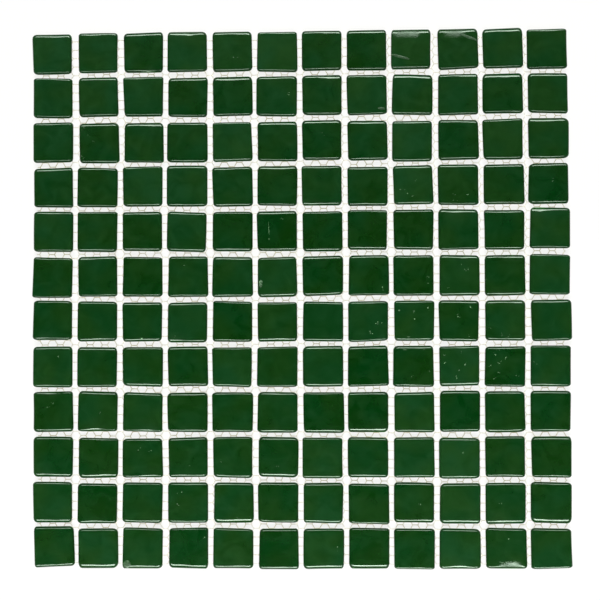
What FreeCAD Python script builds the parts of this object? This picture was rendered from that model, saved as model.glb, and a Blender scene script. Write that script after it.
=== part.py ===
"""Mosaic sheet: square rows of pressed glass tiles, laid by hand and bonded to a fine net.

The sheet lies flat with its face up. X runs along the rows and Y up the sheet. The origin is under
the middle of the sheet, on the surface that it lies on. All sizes are in millimetres.
"""

import FreeCAD, Part

import math
import os
import random

# The field of tiles
row_count = 12
tiles_in_row = 12
joint_width = 2.9

# One pressed tile: its sides lean in towards the back, and its upper edge is rolled over
tile_side = 22.1
tile_thickness = 4.0
corner_radius = 2.2
edge_roll_width = 2.2
edge_roll_depth = 1.2
side_draft_deg = 12.0

# How far the tiles stray, with lengths as shares of the joint, so that neighbours stay apart
corner_scatter = 0.06
laying_scatter = 0.075
turn_scatter_deg = 0.4
scatter_limit = 2.0
pull_of_net = 0.085
lean_of_rows_deg = 0.3
scatter_seed = 41

# The tiles laid furthest off, by row and column from the top left one: how far right, how far up
# and how many degrees anticlockwise
far_strays = {
    (0, 0): (-0.3, -0.15, 0.2),
    (0, 4): (0.0, 0.05, 1.1),
    (0, 8): (-0.25, 0.1, -0.7),
    (0, 9): (0.15, 0.1, 1.3),
    (0, 11): (-0.2, -0.15, 0.5),
    (1, 1): (0.05, 0.1, 1.6),
    (1, 8): (0.0, 0.05, -1.4),
    (2, 1): (0.25, -0.15, 0.0),
    (2, 2): (0.3, -0.15, -0.2),
    (2, 8): (-0.1, -0.2, -0.3),
    (3, 1): (-0.05, -0.1, -1.3),
    (3, 4): (0.1, 0.0, 1.4),
    (3, 11): (-0.2, 0.05, -0.4),
    (4, 3): (-0.05, -0.05, -1.3),
    (4, 11): (0.05, 0.2, -0.7),
    (5, 0): (-0.05, -0.1, -1.3),
    (6, 0): (0.0, 0.3, -1.0),
    (7, 3): (0.15, 0.1, 0.9),
    (10, 1): (-0.15, -0.15, -0.6),
    (11, 0): (0.25, 0.2, 2.1),
}

# The backing net: flat threads in two layers, bonded where they cross
net_cell_width = 8.4
net_cell_height = 4.85
thread_width = 0.45
thread_thickness = 0.25
net_margin = 2.0
net_turn_deg = 0.4

# Each rounding is drawn with few flats, because it is repeated on every tile
corner_flats = 2
edge_roll_flats = 2
point_tolerance = 0.001

tile_pitch = tile_side + joint_width
field_width = tiles_in_row * tile_pitch - joint_width
field_height = row_count * tile_pitch - joint_width
net_width = field_width - 2 * net_margin
net_height = field_height - 2 * net_margin
net_thickness = 2 * thread_thickness
shoulder_height = tile_thickness - edge_roll_depth
back_inset = shoulder_height * math.tan(math.radians(side_draft_deg))


def chance(draw, spread):
    """A chance offset of about this spread, never past the limit."""
    return spread * max(-scatter_limit, min(scatter_limit, draw.gauss(0, 1)))


def pull(x, y):
    """What the soft net does to a tile at (x, y): it widens and sags in the middle, and leans at the top."""
    across = math.pi * x / field_width
    along = math.pi * y / field_height
    reach = pull_of_net * joint_width
    right = reach * math.sin(across) * math.cos(2 * along)
    up = -reach / 2 * math.cos(2 * across)
    return right, up, lean_of_rows_deg * math.sin(along)


def tile_corners(row, column):
    """The four corners of a laid tile before rounding, anticlockwise from the lower left one."""
    draw = random.Random(scatter_seed + row * tiles_in_row + column)
    square_x = (column - (tiles_in_row - 1) / 2) * tile_pitch
    square_y = ((row_count - 1) / 2 - row) * tile_pitch
    chance_stray = (
        chance(draw, laying_scatter),
        chance(draw, laying_scatter),
        chance(draw, turn_scatter_deg),
    )
    right, up, turn_deg = far_strays.get((row, column), chance_stray)
    pull_x, pull_y, lean_deg = pull(square_x, square_y)
    middle_x = square_x + pull_x + right * joint_width
    middle_y = square_y + pull_y + up * joint_width
    cosine = math.cos(math.radians(turn_deg + lean_deg))
    sine = math.sin(math.radians(turn_deg + lean_deg))
    corners = []
    for side_x, side_y in ((-1, -1), (1, -1), (1, 1), (-1, 1)):
        x = side_x * tile_side / 2 + chance(draw, corner_scatter * joint_width)
        y = side_y * tile_side / 2 + chance(draw, corner_scatter * joint_width)
        corners.append((middle_x + x * cosine - y * sine, middle_y + x * sine + y * cosine))
    return corners


def centred(field):
    """The rows of tile corners, moved so that the middle of the whole field is over the origin."""
    xs = [x for row in field for corners in row for x, _ in corners]
    ys = [y for row in field for corners in row for _, y in corners]
    shift_x = (min(xs) + max(xs)) / 2
    shift_y = (min(ys) + max(ys)) / 2
    return [[[(x - shift_x, y - shift_y) for x, y in corners] for corners in row] for row in field]


def outward_angle(start, end):
    """The direction in which the side from start to end faces, for corners that run anticlockwise."""
    return math.atan2(end[1] - start[1], end[0] - start[0]) - math.pi / 2


def outline_ring(corners, inset, z):
    """A tile's rounded outline drawn in by inset, at height z; past the corner radius it is sharp."""
    radius = max(corner_radius - inset, 0)
    ring = []
    for index, corner in enumerate(corners):
        before = outward_angle(corners[index - 1], corner)
        after = outward_angle(corner, corners[(index + 1) % len(corners)])
        opening = (after - before) % (2 * math.pi)
        diagonal = before + opening / 2
        depth = (inset + radius) / math.cos(opening / 2)
        centre_x = corner[0] - depth * math.cos(diagonal)
        centre_y = corner[1] - depth * math.sin(diagonal)
        for step in range(corner_flats + 1):
            angle = before + opening * step / corner_flats
            x = centre_x + radius * math.cos(angle)
            y = centre_y + radius * math.sin(angle)
            ring.append(FreeCAD.Vector(x, y, z))
    return ring


def tile_section():
    """A tile's side from back to face, as insets and heights: the leaning wall, then the rolled edge."""
    section = [(back_inset, 0)]
    for step in range(edge_roll_flats + 1):
        angle = math.pi / 2 * step / edge_roll_flats
        inset = edge_roll_width * (1 - math.cos(angle))
        section.append((inset, shoulder_height + edge_roll_depth * math.sin(angle)))
    return section


def flat_face(points):
    """A flat face with these corners, where neighbours that fall together count once."""
    corners = [
        point for index, point in enumerate(points) if not point.isEqual(points[index - 1], point_tolerance)
    ]
    return Part.Face(Part.makePolygon(corners + corners[:1]))


def tile(corners):
    """One glass tile standing on the net: rings of its outline from back to face, joined by flats."""
    rings = [outline_ring(corners, inset, net_thickness + height) for inset, height in tile_section()]
    faces = [flat_face(rings[0]), flat_face(rings[-1])]
    for lower, upper in zip(rings, rings[1:]):
        for index in range(len(lower)):
            faces.append(flat_face([lower[index - 1], lower[index], upper[index], upper[index - 1]]))
    solid = Part.Solid(Part.Shell(faces))
    if solid.Volume < 0:
        solid.reverse()
    return solid


def thread_layer(slope_sign, z):
    """One layer of parallel threads at height z, from edge to edge of the net, rising or falling."""
    sheet = Part.makeBox(
        net_width, net_height, net_thickness, FreeCAD.Vector(-net_width / 2, -net_height / 2, 0)
    )
    slope = math.atan2(net_cell_height, net_cell_width)
    spacing = net_cell_width * math.sin(slope)
    reach = math.hypot(net_width, net_height) / 2
    shortest = math.hypot(net_cell_width, net_cell_height)
    count_to_corner = math.floor(reach / spacing)
    threads = []
    for index in range(-count_to_corner, count_to_corner + 1):
        start = FreeCAD.Vector(-reach, index * spacing - thread_width / 2, z)
        thread = Part.makeBox(2 * reach, thread_width, thread_thickness, start)
        turn_deg = slope_sign * math.degrees(slope) + net_turn_deg
        thread.rotate(FreeCAD.Vector(0, 0, 0), FreeCAD.Vector(0, 0, 1), turn_deg)
        cut = thread.common(sheet)
        if cut.Volume > shortest * thread_width * thread_thickness:
            threads.append(cut)
    return Part.makeCompound(threads)


def main():
    os.makedirs("parts", exist_ok=True)
    field = centred(
        [[tile_corners(row, column) for column in range(tiles_in_row)] for row in range(row_count)]
    )
    for number, row in enumerate(field, start=1):
        tiles = Part.makeCompound([tile(corners) for corners in row])
        tiles.exportStep(f"parts/tile_row_{number:02d}.step")
    thread_layer(1, 0).exportStep("parts/net_threads_lower.step")
    thread_layer(-1, thread_thickness).exportStep("parts/net_threads_upper.step")


main()
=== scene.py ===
"""A mosaic sheet of green glass tiles on a net, seen from above. Lengths are in metres."""

import math
import random

import bpy
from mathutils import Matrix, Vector


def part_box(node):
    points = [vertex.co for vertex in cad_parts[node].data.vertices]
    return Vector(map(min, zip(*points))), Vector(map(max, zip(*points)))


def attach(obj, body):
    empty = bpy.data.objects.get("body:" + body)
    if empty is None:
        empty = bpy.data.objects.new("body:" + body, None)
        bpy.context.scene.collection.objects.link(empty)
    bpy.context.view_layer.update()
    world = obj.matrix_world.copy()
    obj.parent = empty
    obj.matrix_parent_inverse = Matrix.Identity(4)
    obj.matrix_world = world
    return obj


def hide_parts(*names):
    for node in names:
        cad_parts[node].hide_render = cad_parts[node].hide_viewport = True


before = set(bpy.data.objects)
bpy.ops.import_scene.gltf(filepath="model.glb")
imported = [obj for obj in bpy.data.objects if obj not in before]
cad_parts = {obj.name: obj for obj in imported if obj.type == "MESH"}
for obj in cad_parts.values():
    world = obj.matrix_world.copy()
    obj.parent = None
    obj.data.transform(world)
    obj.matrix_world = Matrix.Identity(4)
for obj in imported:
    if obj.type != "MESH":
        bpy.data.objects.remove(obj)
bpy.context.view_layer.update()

# Glass tiles.
# Each is a gob of green glass pressed in a mould and fire-polished, so its face is flat and bright,
# its upper edge is rolled over and its sides lean in to a flat back. Adhesive holds it to the net.
TILE_ROWS = sorted(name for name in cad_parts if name.startswith("tile_row_"))
TILE_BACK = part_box(TILE_ROWS[0])[0].z
TILE_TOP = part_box(TILE_ROWS[0])[1].z
TILE_SIDE = 0.0225
CORNER_RADIUS = 0.0023
EDGE_ROLL_WIDTH = 0.00165
EDGE_ROLL_DEPTH = 0.0017
BACK_SCALE = 0.946
SIDE_CUTS = 7
ROLL_SEGMENTS = 5
MERGE = 1e-6
FACE_HALF = TILE_SIDE / 2 - CORNER_RADIUS
OUTLINE = TILE_SIDE / 2 / FACE_HALF
RIM_SPREAD = 0.055
RIM_WAVE = 0.018
BOW_SPREAD = 0.008
SLUMP_SPREAD = 0.0002
SLUMP_LENGTH = 0.6
SLUMP_START = 0.6
# Half the height of the band round the foot of the rolled edge that is painted a lighter green: a painted glow,
# as if light came through the thin glass there
EDGE_GLOW_BAND = 0.0007
SKIN_ROUGHNESS = 0.04
FROST_ROUGHNESS = 0.35
TONE_SPREAD = 0.18

# Tiles are named by row and column from the top left one. Places on a tile are given right and up of its
# middle, where 1 is its side.
# Upper or lower edges that slumped in the mould: side (1 is up), how far right, how long, where on the
# way to the edge it starts, and how deep in metres
SLUMPS = {
    (0, 8): ((1, 0.32, 0.26, 0.65, 0.0003), (1, -0.4, 0.6, 0.7, 0.00012)),
    (0, 9): ((1, -0.2, 0.6, 0.7, 0.00016),),
    (11, 10): ((-1, 0.25, 0.72, 0.68, 0.0005),),
}
# Upper or lower edges with a wider roll: side (1 is up), and how far out of the middle it starts
WIDE_ROLLS = {
    (0, 8): (1, 0.92),
    (0, 9): (1, 0.92),
    (0, 10): (1, 0.94),
    (10, 9): (-1, 0.94),
    (10, 10): (-1, 0.94),
    (11, 3): (-1, 0.93),
}
# Folds, from one end to the other
FOLDS = {
    (0, 8): (((-0.94, -0.27), (-0.13, -0.5)),),
    (0, 9): (((0.2, 0.68), (0.9, 0.38)),),
    (1, 7): (((0.6, -0.7), (0.84, -0.74)),),
}
FOLD_WIDTH = 0.0016
FOLD_HEIGHT = 0.00002
# How pale a fold is painted: a painted sheen standing for the softboxes' reflection along it
FOLD_SHEEN = 0.05
# Fine scratches, from one end to the other
SCRATCHES = {
    (4, 5): (((-0.39, -0.2), (-0.41, 0.5)),),
    (6, 8): (((-0.36, -0.8), (-0.2, -0.8)),),
    (7, 8): (((-0.5, 0.8), (-0.3, 0.8)),),
    (7, 10): (((-0.6, -0.62), (-0.45, -0.55)),),
    (11, 10): (
        ((-0.36, -0.66), (-0.1, -0.7)),
        ((-0.3, -0.8), (0.0, -0.7)),
        ((-0.15, -0.86), (0.05, -0.78)),
        ((-0.05, -0.66), (0.2, -0.62)),
        ((0.3, -0.6), (0.5, -0.64)),
    ),
}
SCRATCH_WIDTH = 0.00025
SCRATCH_WEAR = 0.45
# Seeds, which are small bubbles that burst at the face
SEEDS = {
    (0, 4): ((0.15, -0.3),),
    (1, 5): ((0.6, 0.05),),
    (2, 1): ((-0.5, 0.4), (-0.2, 0.1), (-0.8, -0.7), (-0.8, 0.75)),
    (2, 6): ((0.0, 0.25),),
    (3, 8): ((-0.05, -0.6), (0.15, 0.2), (-0.55, -0.2)),
    (3, 9): ((-0.2, -0.45), (-0.2, -0.8), (0.45, -0.45)),
    (3, 11): ((0.25, 0.2),),
    (4, 5): ((-0.4, -0.4), (0.22, 0.65)),
    (5, 3): ((-0.2, 0.5),),
    (5, 7): ((0.65, -0.6),),
    (5, 8): ((0.65, -0.1), (0.7, -0.4)),
    (5, 9): ((0.1, 0.5), (0.42, 0.35), (0.25, 0.25), (-0.55, -0.6)),
    (5, 10): ((-0.9, -0.2),),
    (6, 3): ((-0.7, -0.7),),
    (6, 7): ((0.46, -0.1), (0.15, -0.6)),
    (6, 8): ((-0.77, 0.5), (0.0, 0.47), (-0.05, 0.05), (0.7, 0.6)),
    (6, 9): ((-0.05, 0.22), (0.56, 0.66), (0.5, -0.75)),
    (6, 10): ((-0.2, -0.65), (0.17, -0.7), (-0.8, -0.4)),
    (7, 0): ((0.35, 0.45),),
    (7, 8): ((0.5, 0.78), (0.82, -0.25), (-0.1, -0.4)),
    (7, 9): ((0.1, 0.7), (0.3, 0.05), (0.0, -0.2), (-0.13, -0.6), (-0.75, 0.15), (-0.75, 0.55)),
    (7, 10): ((-0.35, 0.85), (-0.55, 0.6), (0.0, 0.4), (-0.3, 0.15), (-0.75, 0.05), (-0.3, -0.3), (0.6, -0.5)),
    (7, 11): ((-0.75, 0.15),),
    (8, 0): ((0.0, 0.45), (-0.2, 0.25)),
    (8, 1): ((0.15, -0.05),),
    (9, 2): ((-0.15, 0.4), (0.4, 0.35)),
    (9, 3): ((0.05, -0.45),),
    (9, 4): ((-0.6, -0.15),),
    (9, 5): ((-0.05, -0.4),),
    (9, 9): ((0.15, 0.3),),
    (10, 3): ((-0.55, -0.1), (-0.4, 0.5)),
    (10, 4): ((0.2, -0.75), (0.8, -0.75)),
    (10, 8): ((0.3, 0.0),),
    (10, 10): ((-0.3, 0.05),),
    (11, 3): ((0.85, 0.6),),
    (11, 6): ((0.65, 0.0),),
}
SEED_WIDTH = (0.0002, 0.0004)
SEED_STRAY = 0.05
# The few large bubbles that burst: place, width and how pale
BUBBLES = {
    (1, 5): (((0.6, 0.05), 0.0005, 0.8),),
    (3, 8): (((-0.3, -0.45), 0.0005, 0.9),),
    (5, 5): (((-0.83, -0.25), 0.0022, 0.25), ((-0.84, -0.4), 0.0019, 0.2), ((-0.86, -0.25), 0.0009, 0.35)),
    (5, 7): (((0.66, -0.6), 0.0004, 1.2), ((0.7, -0.75), 0.0004, 0.8)),
    (6, 2): (((0.0, -0.84), 0.0009, 1.0),),
    (6, 7): (
        ((0.38, -0.12), 0.0004, 1.0),
        ((0.48, -0.05), 0.0004, 1.2),
        ((0.68, -0.1), 0.0004, 0.9),
        ((0.1, -0.5), 0.0004, 1.0),
        ((0.22, -0.62), 0.0004, 1.2),
    ),
    (6, 8): (
        ((0.02, 0.08), 0.0006, 1.4),
        ((0.68, 0.62), 0.0006, 0.9),
        ((-0.77, 0.5), 0.0004, 0.9),
        ((0.0, 0.47), 0.0004, 0.7),
    ),
    (6, 9): (((-0.05, 0.2), 0.0006, 1.2), ((0.56, 0.66), 0.0006, 1.1)),
    (7, 9): (
        ((0.28, 0.05), 0.0008, 0.35),
        ((-0.13, -0.6), 0.0006, 0.8),
        ((-0.75, 0.15), 0.0004, 0.8),
        ((-0.75, 0.55), 0.0004, 0.7),
    ),
    (7, 10): (
        ((-0.3, 0.15), 0.0004, 0.9),
        ((0.0, 0.42), 0.0004, 1.0),
        ((-0.72, 0.05), 0.0004, 1.0),
        ((-0.52, 0.6), 0.0004, 0.8),
        ((-0.35, -0.3), 0.0006, 0.4),
    ),
    # On (11,2) the small paler bead on the upper part of the dome is a painted highlight where it faces the upper
    # softbox
    (11, 2): (((-0.75, -0.76), 0.0042, 0.08), ((-0.72, -0.66), 0.0018, 0.2)),
    (11, 10): (((0.1, 0.48), 0.0006, 1.5),),
}
HIGHEST_MARK = 0.00012
# How much paler each mark is painted towards its upper left: a painted highlight, as if lit from there
PAINTED_LIT_SIDE = 0.7
MARK_TONE = -1.0


def linear(hex_colour):
    """The linear colour, with alpha, of an sRGB hex value such as "#1A2B3C"."""
    channels = [int(hex_colour[i:i + 2], 16) / 255 for i in (1, 3, 5)]
    return [c / 12.92 if c <= 0.04045 else ((c + 0.055) / 1.055) ** 2.4 for c in channels] + [1.0]


def add_node(tree, kind, settings, links):
    """Adds a node, sets its fields and sockets, and links its sockets to those of other nodes."""
    node = tree.nodes.new(kind)
    for name, value in settings.items():
        if isinstance(name, int) or name in node.inputs:
            node.inputs[name].default_value = value
        else:
            setattr(node, name, value)
    for name, source in links.items():
        tree.links.new(source, node.inputs[name])
    return node


def new_material(name):
    """An empty node material and its output node."""
    material = bpy.data.materials.new(name)
    material.use_nodes = True
    material.node_tree.nodes.clear()
    return material, add_node(material.node_tree, "ShaderNodeOutputMaterial", {}, {})


def deselect_all():
    for thing in bpy.context.selected_objects:
        thing.select_set(False)


def face_corners(row_name):
    """The corners of each flat face in a row, from left to right, anticlockwise from the lower left."""
    points = sorted({
        (round(vertex.co.x, 6), round(vertex.co.y, 6))
        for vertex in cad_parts[row_name].data.vertices
        if vertex.co.z > TILE_TOP - MERGE
    })
    faces = []
    for start in range(0, len(points), 4):
        corners = points[start:start + 4]
        middle_x = sum(x for x, y in corners) / 4
        middle_y = sum(y for x, y in corners) / 4
        faces.append(sorted(corners, key=lambda p: math.atan2(p[1] - middle_y, p[0] - middle_x)))
    return faces


def glass_material():
    """Soda-lime glass coloured in the melt: a smooth bright surface over a deep, faintly cloudy green.

    The sharp outermost edge is painted a lighter green, a painted glow of light coming through the thin
    glass there. A burst bubble or a scratch is pale and mottled, a fold is painted a little paler as a
    painted sheen, and every mark is painted paler towards its upper left as a painted highlight.
    """
    material, output = new_material("pressed_green_glass")
    tree = material.node_tree
    place = add_node(tree, "ShaderNodeTexCoord", {}, {}).outputs["Object"]
    tone = add_node(tree, "ShaderNodeAttribute", {"attribute_name": "tone"}, {}).outputs["Fac"]
    clouds = add_node(
        tree, "ShaderNodeTexNoise", {"Scale": 1 / 0.009, "Detail": 3.0, "Distortion": 1.0}, {"Vector": place}
    )
    share = add_node(
        tree, "ShaderNodeMath", {"operation": "MULTIPLY_ADD", 1: 1.6}, {0: clouds.outputs["Fac"], 2: tone}
    )
    hue = add_node(tree, "ShaderNodeTexNoise", {"Scale": 1 / 0.016, "Detail": 1.0}, {"Vector": place})
    melt = add_node(tree, "ShaderNodeValToRGB", {}, {"Fac": hue.outputs["Fac"]})
    melt.color_ramp.elements[0].position = 0.35
    melt.color_ramp.elements[0].color = linear("#082F05")
    melt.color_ramp.elements[1].position = 0.65
    melt.color_ramp.elements[1].color = linear("#013009")
    haze = add_node(tree, "ShaderNodeValToRGB", {}, {"Fac": hue.outputs["Fac"]})
    haze.color_ramp.elements[0].position = 0.35
    haze.color_ramp.elements[0].color = linear("#193F17")
    haze.color_ramp.elements[1].position = 0.65
    haze.color_ramp.elements[1].color = linear("#143F1D")
    body = add_node(
        tree,
        "ShaderNodeMix",
        {"data_type": "RGBA"},
        {"Factor": share.outputs["Value"], 6: melt.outputs["Color"], 7: haze.outputs["Color"]},
    )
    height = add_node(tree, "ShaderNodeSeparateXYZ", {}, {"Vector": place}).outputs["Z"]
    shoulder = TILE_TOP - EDGE_ROLL_DEPTH
    above_edge = add_node(
        tree,
        "ShaderNodeMapRange",
        {
            "From Min": shoulder - EDGE_GLOW_BAND,
            "From Max": shoulder + EDGE_GLOW_BAND,
            "To Min": -1.0,
            "To Max": 1.0,
        },
        {"Value": height},
    )
    from_edge = add_node(
        tree, "ShaderNodeMath", {"operation": "ABSOLUTE"}, {0: above_edge.outputs["Result"]}
    )
    # The sharp outermost edge is painted a lighter green that fades out over the band: a painted glow of light
    # through the thin glass
    body_with_edge_glow = add_node(
        tree,
        "ShaderNodeMix",
        {"data_type": "RGBA", 6: linear("#4E9440")},
        {"Factor": from_edge.outputs["Value"], 7: body.outputs[2]},
    )
    # Marks mix towards a pale green: real wear on bubbles, seeds and scratches, and a painted sheen on folds and
    # on each mark's upper left
    wear_and_sheen = add_node(tree, "ShaderNodeAttribute", {"attribute_name": "wear_and_sheen"}, {}).outputs["Fac"]
    mottle = add_node(tree, "ShaderNodeTexNoise", {"Scale": 1 / 0.0008, "Detail": 2.0}, {"Vector": place})
    paleness = add_node(
        tree,
        "ShaderNodeMapRange",
        {"From Min": 0.4, "From Max": 0.6, "To Min": 0.4, "To Max": 1.0},
        {"Value": mottle.outputs["Fac"]},
    )
    worn_and_lit = add_node(
        tree, "ShaderNodeMath", {"operation": "MULTIPLY"}, {0: wear_and_sheen, 1: paleness.outputs["Result"]}
    )
    colour = add_node(
        tree,
        "ShaderNodeMix",
        {"data_type": "RGBA", 7: linear("#A6D8A2")},
        {"Factor": worn_and_lit.outputs["Value"], 6: body_with_edge_glow.outputs[2]},
    )
    waves = add_node(tree, "ShaderNodeTexNoise", {"Scale": 1 / 0.006, "Detail": 1.0}, {"Vector": place})
    bump = add_node(
        tree, "ShaderNodeBump", {"Strength": 0.7, "Distance": 0.0003}, {"Height": waves.outputs["Fac"]}
    )
    frost = add_node(tree, "ShaderNodeAttribute", {"attribute_name": "frost"}, {}).outputs["Fac"]
    roughness = add_node(
        tree, "ShaderNodeMapRange", {"To Min": SKIN_ROUGHNESS, "To Max": FROST_ROUGHNESS}, {"Value": frost}
    )
    glass = add_node(
        tree,
        "ShaderNodeBsdfPrincipled",
        {"IOR": 1.52, "Specular Tint": linear("#E8FFEA")},
        {
            "Base Color": colour.outputs[2],
            "Roughness": roughness.outputs["Result"],
            "Normal": bump.outputs["Normal"],
        },
    )
    tree.links.new(glass.outputs["BSDF"], output.inputs["Surface"])
    return material


def rolled(place):
    """Where a point of the rounded block goes: its outermost rings draw the roll of the upper edge.

    The innermost ring stays in the face, so the roll is narrower than the corners' rounding in plan.
    """
    corner = Vector((
        max(-FACE_HALF, min(FACE_HALF, place.x)),
        max(-FACE_HALF, min(FACE_HALF, place.y)),
        TILE_TOP,
    ))
    beyond = Vector((place.x - corner.x, place.y - corner.y, 0))
    if beyond.length < MERGE:
        return Vector((place.x, place.y, TILE_TOP))
    ring = ROLL_SEGMENTS * math.asin(min(beyond.length / CORNER_RADIUS, 1)) / (math.pi / 2)
    turn = (ring - 1) / (ROLL_SEGMENTS - 1) * math.pi / 2
    radius = CORNER_RADIUS - EDGE_ROLL_WIDTH * (1 - math.sin(turn))
    drop = EDGE_ROLL_DEPTH * (1 - math.cos(turn))
    return corner + beyond.normalized() * radius - Vector((0, 0, drop))


def tile_template():
    """One tile, square and centred: a rounded block cut at its equator, flattened, and drawn down to its back."""
    deselect_all()
    bpy.ops.mesh.primitive_cube_add(size=TILE_SIDE, location=(0, 0, 0))
    tile = bpy.context.object
    bpy.ops.object.mode_set(mode="EDIT")
    bpy.ops.mesh.select_all(action="SELECT")
    bpy.ops.mesh.subdivide(number_cuts=SIDE_CUTS)
    bpy.ops.mesh.select_mode(type="EDGE")
    bpy.ops.mesh.select_all(action="DESELECT")
    bpy.ops.mesh.edges_select_sharp(sharpness=math.radians(60))
    bpy.ops.mesh.bevel(offset=CORNER_RADIUS, segments=ROLL_SEGMENTS, affect="EDGES")
    bpy.ops.mesh.select_all(action="SELECT")
    bpy.ops.mesh.bisect(
        plane_co=(0, 0, FACE_HALF), plane_no=(0, 0, 1), clear_inner=True, threshold=MERGE
    )
    bpy.ops.object.mode_set(mode="OBJECT")
    for vertex in tile.data.vertices:
        vertex.co = rolled(vertex.co)
    bpy.ops.object.mode_set(mode="EDIT")
    bpy.ops.mesh.select_all(action="DESELECT")
    bpy.ops.mesh.select_non_manifold()
    wall = TILE_TOP - EDGE_ROLL_DEPTH - TILE_BACK
    bpy.ops.mesh.extrude_region_move(TRANSFORM_OT_translate={"value": (0, 0, -wall)})
    bpy.ops.transform.resize(value=(BACK_SCALE, BACK_SCALE, 1), center_override=(0, 0, TILE_BACK))
    bpy.ops.mesh.edge_face_add()
    bpy.ops.mesh.select_all(action="SELECT")
    bpy.ops.mesh.normals_make_consistent(inside=False)
    bpy.ops.object.mode_set(mode="OBJECT")
    add_shares(tile)
    return tile


def bead_template():
    """A ball of radius 1, which is flattened and sunk into a face to make a bubble, a fold or a scratch."""
    deselect_all()
    bpy.ops.mesh.primitive_ico_sphere_add(subdivisions=2, radius=1, location=(0, 0, 0))
    bead = bpy.context.object
    add_shares(bead)
    return bead


def add_shares(thing):
    """Gives a piece of glass the shares that its material reads: how cloudy, how worn or painted pale, and how
    matt it is.
    """
    for name in ("tone", "wear_and_sheen", "frost"):
        thing.data.attributes.new(name, "FLOAT", "POINT")


def set_share(thing, name, value):
    thing.data.attributes[name].data.foreach_set("value", [value] * len(thing.data.vertices))


def copy_of(template):
    thing = template.copy()
    thing.data = template.data.copy()
    bpy.context.collection.objects.link(thing)
    return thing


def on_tile(u, v, corners):
    """The place that is u right and v up of the middle of four corners, where 1 is a corner's side."""
    weights = ((1 - u) * (1 - v), (1 + u) * (1 - v), (1 + u) * (1 + v), (1 - u) * (1 + v))
    return [sum(w * corner[axis] for w, corner in zip(weights, corners)) / 4 for axis in (0, 1)]


def add_bead(bead, corners, start, end, width, height, wear_and_sheen):
    """A copy of the bead, drawn out from start to end on a tile and standing up from it by its height."""
    bead = copy_of(bead)
    ends = [on_tile(u * OUTLINE, v * OUTLINE, corners) for u, v in (start, end)]
    reach = [(b - a) / 2 for a, b in zip(*ends)]
    length = math.hypot(*reach) + width / 2
    turn = math.atan2(reach[1], reach[0])
    # Painted highlight: each mark is painted paler towards its upper left, as if lit from there
    shares = [wear_and_sheen * (1 + PAINTED_LIT_SIDE * (vertex.co.y - vertex.co.x)) for vertex in bead.data.vertices]
    bead.data.attributes["wear_and_sheen"].data.foreach_set("value", shares)
    for vertex in bead.data.vertices:
        along = vertex.co.x * length
        across = vertex.co.y * width / 2
        vertex.co.x = ends[0][0] + reach[0] + along * math.cos(turn) - across * math.sin(turn)
        vertex.co.y = ends[0][1] + reach[1] + along * math.sin(turn) + across * math.cos(turn)
        vertex.co.z = TILE_TOP + vertex.co.z * (height if vertex.co.z > 0 else width / 3)
    set_share(bead, "frost", 1.0)
    set_share(bead, "tone", MARK_TONE)
    return bead


def marks_of(key, bead, corners, draw):
    """The folds, scratches, seeds and bubbles of one tile."""
    marks = []
    for start, end in FOLDS.get(key, ()):
        marks.append(add_bead(bead, corners, start, end, FOLD_WIDTH, FOLD_HEIGHT, FOLD_SHEEN))
    for start, end in SCRATCHES.get(key, ()):
        marks.append(add_bead(bead, corners, start, end, SCRATCH_WIDTH, SCRATCH_WIDTH / 4, SCRATCH_WEAR))
    for u, v in SEEDS.get(key, ()):
        for width in SEED_WIDTH:
            start = (draw.gauss(u, SEED_STRAY), draw.gauss(v, SEED_STRAY))
            end = (draw.gauss(start[0], SEED_STRAY / 2), draw.gauss(start[1], SEED_STRAY / 2))
            marks.append(add_bead(bead, corners, start, end, width, width / 6, draw.uniform(0.1, 0.55)))
    for place, width, wear_and_sheen in BUBBLES.get(key, ()):
        marks.append(add_bead(bead, corners, place, place, width, min(width / 5, HIGHEST_MARK), wear_and_sheen))
    return marks


def lay_tile(template, key, corners, draw):
    """A copy of the tile whose flat face is stretched to four laid corners, with its own edge and tone."""
    tile = copy_of(template)
    left, right, lower, upper = (
        (draw.gauss(1.02, RIM_SPREAD), draw.gauss(0, BOW_SPREAD), draw.uniform(0, 2 * math.pi))
        for _ in range(4)
    )
    side, width = WIDE_ROLLS.get(key, (0, 0))
    if side > 0:
        upper = (width, *upper[1:])
    if side < 0:
        lower = (width, *lower[1:])
    slight_slumps = [
        (side, draw.uniform(-0.8, 0.8), SLUMP_LENGTH, SLUMP_START, abs(draw.gauss(0, SLUMP_SPREAD)))
        for side in (-1, 1)
    ]
    shoulder = TILE_TOP - EDGE_ROLL_DEPTH
    frost = tile.data.attributes["frost"].data
    for index, vertex in enumerate(tile.data.vertices):
        across = vertex.co.x / FACE_HALF
        along = vertex.co.y / FACE_HALF
        above = max((vertex.co.z - shoulder) / EDGE_ROLL_DEPTH, 0)
        for side, middle, length, start, drop in SLUMPS.get(key, slight_slumps):
            if side * along > start:
                beside = above * math.exp(-(((across - middle) / length) ** 4))
                inward = (side * along - start) / (1 - start)
                vertex.co.z -= drop * beside * inward ** 1.3
                if key in SLUMPS:
                    frost[index].value = max(frost[index].value, beside)
        u = pressed(across, along, right if across > 0 else left)
        v = pressed(along, across, upper if along > 0 else lower)
        vertex.co.x, vertex.co.y = on_tile(u, v, corners)
    set_share(tile, "tone", draw.gauss(-0.3, TONE_SPREAD))
    return tile


def pressed(place, beside, side):
    """Where the press left a point: each side has its own width of rolled edge, wave and slight bow."""
    width, bow, phase = side
    rim = min(width, 1.12) + RIM_WAVE * math.sin(3 * beside + phase)
    reach = abs(place)
    if reach <= 1:
        moved = reach * rim
    else:
        moved = rim + (reach - 1) * (OUTLINE - rim) / (OUTLINE - 1)
    moved += bow * (1 - (beside / OUTLINE) ** 2) * reach / OUTLINE
    return math.copysign(moved, place)


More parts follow.
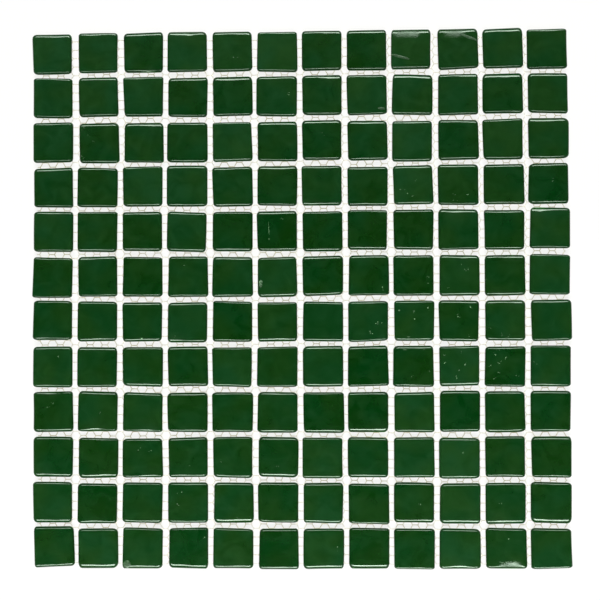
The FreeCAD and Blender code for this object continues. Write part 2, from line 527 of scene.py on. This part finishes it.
glass = glass_material()
template = tile_template()
bead = bead_template()
tile_draw = random.Random(12)
for row_number, row_name in enumerate(TILE_ROWS):
    pieces = []
    for column, corners in enumerate(face_corners(row_name)):
        key = (row_number, column)
        pieces.append(lay_tile(template, key, corners, tile_draw))
        pieces.extend(marks_of(key, bead, corners, tile_draw))
    deselect_all()
    for piece in pieces:
        piece.select_set(True)
    bpy.context.view_layer.objects.active = pieces[0]
    bpy.ops.object.join()
    row = bpy.context.object
    row.name = row_name.replace("tile_row", "glass_tiles")
    bpy.ops.object.shade_smooth_by_angle(angle=math.radians(50))
    row.data.materials.clear()
    row.data.materials.append(glass)
    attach(row, "root")
    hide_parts(row_name)
bpy.data.objects.remove(template)
bpy.data.objects.remove(bead)

# Backing net.
# A knitted net of fine white polyester with six-sided meshes, cut to just inside the outer tiles. It is
# bonded to the backs, and the adhesive stains it a little where it comes out of the joints; the stain is
# laid darkest in the level joints and left out where joints cross, which is partly painted shade.
NET_LOW, NET_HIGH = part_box("net_threads_lower")
NET_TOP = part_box("net_threads_upper")[1].z
MESH_SIDE = 0.0028
MESH_PITCH = 0.025
THREAD_WIDTH = 0.00038
NET_DRIFT = 0.0024
NET_DRIFT_LENGTH = 0.08


def net_material():
    """Polyester thread wetted by adhesive: see-through, and yellowish or brown where more of it dried or painted
    shade falls.
    """
    material, output = new_material("polyester_thread")
    tree = material.node_tree
    place = add_node(tree, "ShaderNodeTexCoord", {}, {}).outputs["Object"]
    glue_and_shade = add_node(tree, "ShaderNodeAttribute", {"attribute_name": "glue_and_shade"}, {}).outputs["Fac"]
    stains = add_node(tree, "ShaderNodeTexNoise", {"Scale": 1 / 0.003, "Detail": 2.0}, {"Vector": place})
    share = add_node(
        tree, "ShaderNodeMath", {"operation": "MULTIPLY"}, {0: stains.outputs["Fac"], 1: glue_and_shade}
    )
    colour = add_node(tree, "ShaderNodeValToRGB", {}, {"Fac": share.outputs["Value"]})
    colour.color_ramp.elements[0].position = 0.0
    colour.color_ramp.elements[0].color = linear("#F9F7E8")
    colour.color_ramp.elements[1].position = 0.6
    colour.color_ramp.elements[1].color = linear("#BAB388")
    thread = add_node(
        tree,
        "ShaderNodeBsdfPrincipled",
        {"Roughness": 0.4, "Transmission Weight": 0.9, "IOR": 1.1},
        {"Base Color": colour.outputs["Color"]},
    )
    tree.links.new(thread.outputs["BSDF"], output.inputs["Surface"])
    return material


def glue_and_shade_share(place):
    """How much adhesive and painted shade stain the net at a place: most in the shaded level joints, none where
    joints cross.
    """
    beside = abs(place.x - MESH_PITCH * round(place.x / MESH_PITCH))
    above = abs(place.y - MESH_PITCH * round(place.y / MESH_PITCH))
    joint = 0.002
    if above < joint:
        return min(beside / 0.005, 1)
    if beside < joint:
        return 0.35 * min(above / 0.005, 1)
    return 0.7


deselect_all()
mesh_height = math.sqrt(3) * MESH_SIDE
columns = math.ceil((NET_HIGH.x - NET_LOW.x) / (3 * MESH_SIDE)) + 1
rows = math.ceil((NET_HIGH.y - NET_LOW.y) / mesh_height) + 1
bpy.ops.mesh.primitive_circle_add(
    vertices=6,
    radius=MESH_SIDE,
    fill_type="NGON",
    rotation=(0, 0, math.radians(30)),
    location=(NET_LOW.x, NET_LOW.y, 0),
)
net = bpy.context.object
net.name = "backing_net"
bpy.ops.object.transform_apply(location=True, rotation=True, scale=True)
for offset, count in (
    ((1.5 * MESH_SIDE, mesh_height / 2, 0), 2),
    ((3 * MESH_SIDE, 0, 0), columns),
    ((0, mesh_height, 0), rows),
):
    array = net.modifiers.new("meshes", "ARRAY")
    array.use_relative_offset = False
    array.use_constant_offset = True
    array.constant_offset_displace = offset
    array.count = count
    bpy.ops.object.modifier_apply(modifier=array.name)
bpy.ops.object.mode_set(mode="EDIT")
bpy.ops.mesh.select_all(action="SELECT")
bpy.ops.mesh.remove_doubles(threshold=MESH_SIDE / 100)
bpy.ops.object.mode_set(mode="OBJECT")
threads = net.modifiers.new("threads", "WIREFRAME")
threads.thickness = THREAD_WIDTH
threads.use_even_offset = True
threads.use_boundary = True
bpy.ops.object.modifier_apply(modifier=threads.name)
bpy.ops.object.mode_set(mode="EDIT")
for corner, normal in (
    (NET_LOW, (1, 0, 0)),
    (NET_LOW, (0, 1, 0)),
    (NET_HIGH, (-1, 0, 0)),
    (NET_HIGH, (0, -1, 0)),
):
    bpy.ops.mesh.select_all(action="SELECT")
    bpy.ops.mesh.bisect(plane_co=corner, plane_no=normal, clear_inner=True, use_fill=True, threshold=MERGE)
bpy.ops.mesh.select_all(action="SELECT")
thread_height = NET_TOP - NET_LOW.z
bpy.ops.transform.resize(value=(1, 1, thread_height / net.dimensions.z), center_override=(0, 0, 0))
bpy.ops.transform.translate(value=(0, 0, NET_LOW.z + thread_height / 2))
bpy.ops.object.mode_set(mode="OBJECT")
drift = bpy.data.textures.new("net_drift", "CLOUDS")
drift.noise_scale = NET_DRIFT_LENGTH
for direction in ("X", "Y"):
    pull = net.modifiers.new("pull", "DISPLACE")
    pull.texture = drift
    pull.texture_coords = "LOCAL"
    pull.direction = direction
    pull.strength = NET_DRIFT
    bpy.ops.object.modifier_apply(modifier=pull.name)
bpy.ops.object.shade_smooth()
glue_and_shade = net.data.attributes.new("glue_and_shade", "FLOAT", "POINT")
glue_and_shade.data.foreach_set("value", [glue_and_shade_share(vertex.co) for vertex in net.data.vertices])
net.data.materials.append(net_material())
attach(net, "root")
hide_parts("net_threads_lower", "net_threads_upper")

# Floor.
# A level white surface that the sheet lies on. It shows white, and keeps the shade in the joints and
# round the sheet. Further out it shades into the white of the room.
FLOOR_SIZE = 8.0
FLOOR_GLOW = 0.86
SHADE_REACH = 0.3
WHITE_REACH = 1.2

deselect_all()
bpy.ops.mesh.primitive_plane_add(size=FLOOR_SIZE, location=(0, 0, 0))
floor = bpy.context.object
floor.name = "floor"
floor_material, floor_output = new_material("white_floor")
tree = floor_material.node_tree
path = add_node(tree, "ShaderNodeLightPath", {}, {})
seen = add_node(
    tree,
    "ShaderNodeMath",
    {"operation": "ADD"},
    {0: path.outputs["Is Camera Ray"], 1: path.outputs["Is Glossy Ray"]},
)
seen_through = add_node(
    tree,
    "ShaderNodeMath",
    {"operation": "ADD", "use_clamp": True},
    {0: seen.outputs["Value"], 1: path.outputs["Is Transmission Ray"]},
)
place = add_node(tree, "ShaderNodeTexCoord", {}, {}).outputs["Object"]
distance = add_node(tree, "ShaderNodeVectorMath", {"operation": "LENGTH"}, {"Vector": place})
glow = add_node(
    tree,
    "ShaderNodeMapRange",
    {"From Min": SHADE_REACH, "From Max": WHITE_REACH, "To Min": FLOOR_GLOW, "To Max": 1.0},
    {"Value": distance.outputs["Value"]},
)
glow_share = add_node(
    tree,
    "ShaderNodeMath",
    {"operation": "MULTIPLY"},
    {0: seen_through.outputs["Value"], 1: glow.outputs["Result"]},
)
matt = add_node(tree, "ShaderNodeBsdfDiffuse", {"Color": linear("#FCFCFC")}, {})
white = add_node(tree, "ShaderNodeEmission", {"Color": linear("#FFFFFD"), "Strength": 1.0}, {})
mixed = add_node(
    tree,
    "ShaderNodeMixShader",
    {},
    {0: glow_share.outputs["Value"], 1: matt.outputs["BSDF"], 2: white.outputs["Emission"]},
)
tree.links.new(mixed.outputs["Shader"], floor_output.inputs["Surface"])
floor.data.materials.append(floor_material)

# Lamps.
# Two long softboxes, above the top and the bottom of the sheet, that draw the bright lines along the
# rolled edges, and a dim room that is darkest overhead.
SOFTBOX_WIDTH = 1.3
SOFTBOX_DEPTH = 0.42
SOFTBOX_REACH = 0.85
SOFTBOX_HEIGHT = 1.0
SOFTBOX_SPREAD_DEG = 60

for side, power, aim in ((-1, 7.2, 0.52), (1, 3.3, 0.33)):
    lamp = bpy.data.lights.new("softbox", "AREA")
    lamp.shape = "RECTANGLE"
    lamp.size = SOFTBOX_WIDTH
    lamp.size_y = SOFTBOX_DEPTH
    lamp.energy = power
    lamp.spread = math.radians(SOFTBOX_SPREAD_DEG)
    softbox = bpy.data.objects.new("softbox", lamp)
    softbox.location = (0, side * SOFTBOX_REACH, SOFTBOX_HEIGHT)
    softbox.rotation_euler = (-side * math.atan2(SOFTBOX_REACH - aim, SOFTBOX_HEIGHT), 0, 0)
    bpy.context.scene.collection.objects.link(softbox)

world = bpy.data.worlds.new("white_room")
bpy.context.scene.world = world
world.use_nodes = True
tree = world.node_tree
tree.nodes.clear()
direction = add_node(tree, "ShaderNodeTexCoord", {}, {}).outputs["Generated"]
lean = add_node(tree, "ShaderNodeSeparateXYZ", {}, {"Vector": direction}).outputs["Y"]
lean_share = add_node(
    tree,
    "ShaderNodeMapRange",
    {"From Min": -1.0, "From Max": 1.0, "To Min": 0.0, "To Max": 1.0},
    {"Value": lean},
)
brightness = add_node(tree, "ShaderNodeValToRGB", {}, {"Fac": lean_share.outputs["Result"]})
brightness.color_ramp.elements[0].color = (0.08, 0.08, 0.08, 1)
brightness.color_ramp.elements[1].color = (0.08, 0.08, 0.08, 1)
for place, strength in ((0.25, 0.3), (0.5, 0.015), (0.75, 0.22)):
    band = brightness.color_ramp.elements.new(place)
    band.color = (strength, strength, strength, 1)
path = add_node(tree, "ShaderNodeLightPath", {}, {})
strength = add_node(
    tree,
    "ShaderNodeMix",
    {"data_type": "FLOAT", "B": 1.0},
    {"Factor": path.outputs["Is Camera Ray"], "A": brightness.outputs["Color"]},
)
room = add_node(
    tree, "ShaderNodeBackground", {"Color": linear("#FFFFFF")}, {"Strength": strength.outputs["Result"]}
)
room_output = add_node(tree, "ShaderNodeOutputWorld", {}, {"Surface": room.outputs["Background"]})

# Camera.
# Almost straight above the middle of the sheet, as the photograph was taken, with a short telephoto lens.
camera_data = bpy.data.cameras.new("camera")
camera_data.lens = 85
camera = bpy.data.objects.new("camera", camera_data)
camera.location = (0.02804, -0.02112, 0.78553)
camera.rotation_euler = (math.radians(1.4693), math.radians(2.0558), math.radians(-0.1782))
bpy.context.scene.collection.objects.link(camera)
bpy.context.scene.camera = camera

bpy.context.scene.view_settings.view_transform = "Standard"
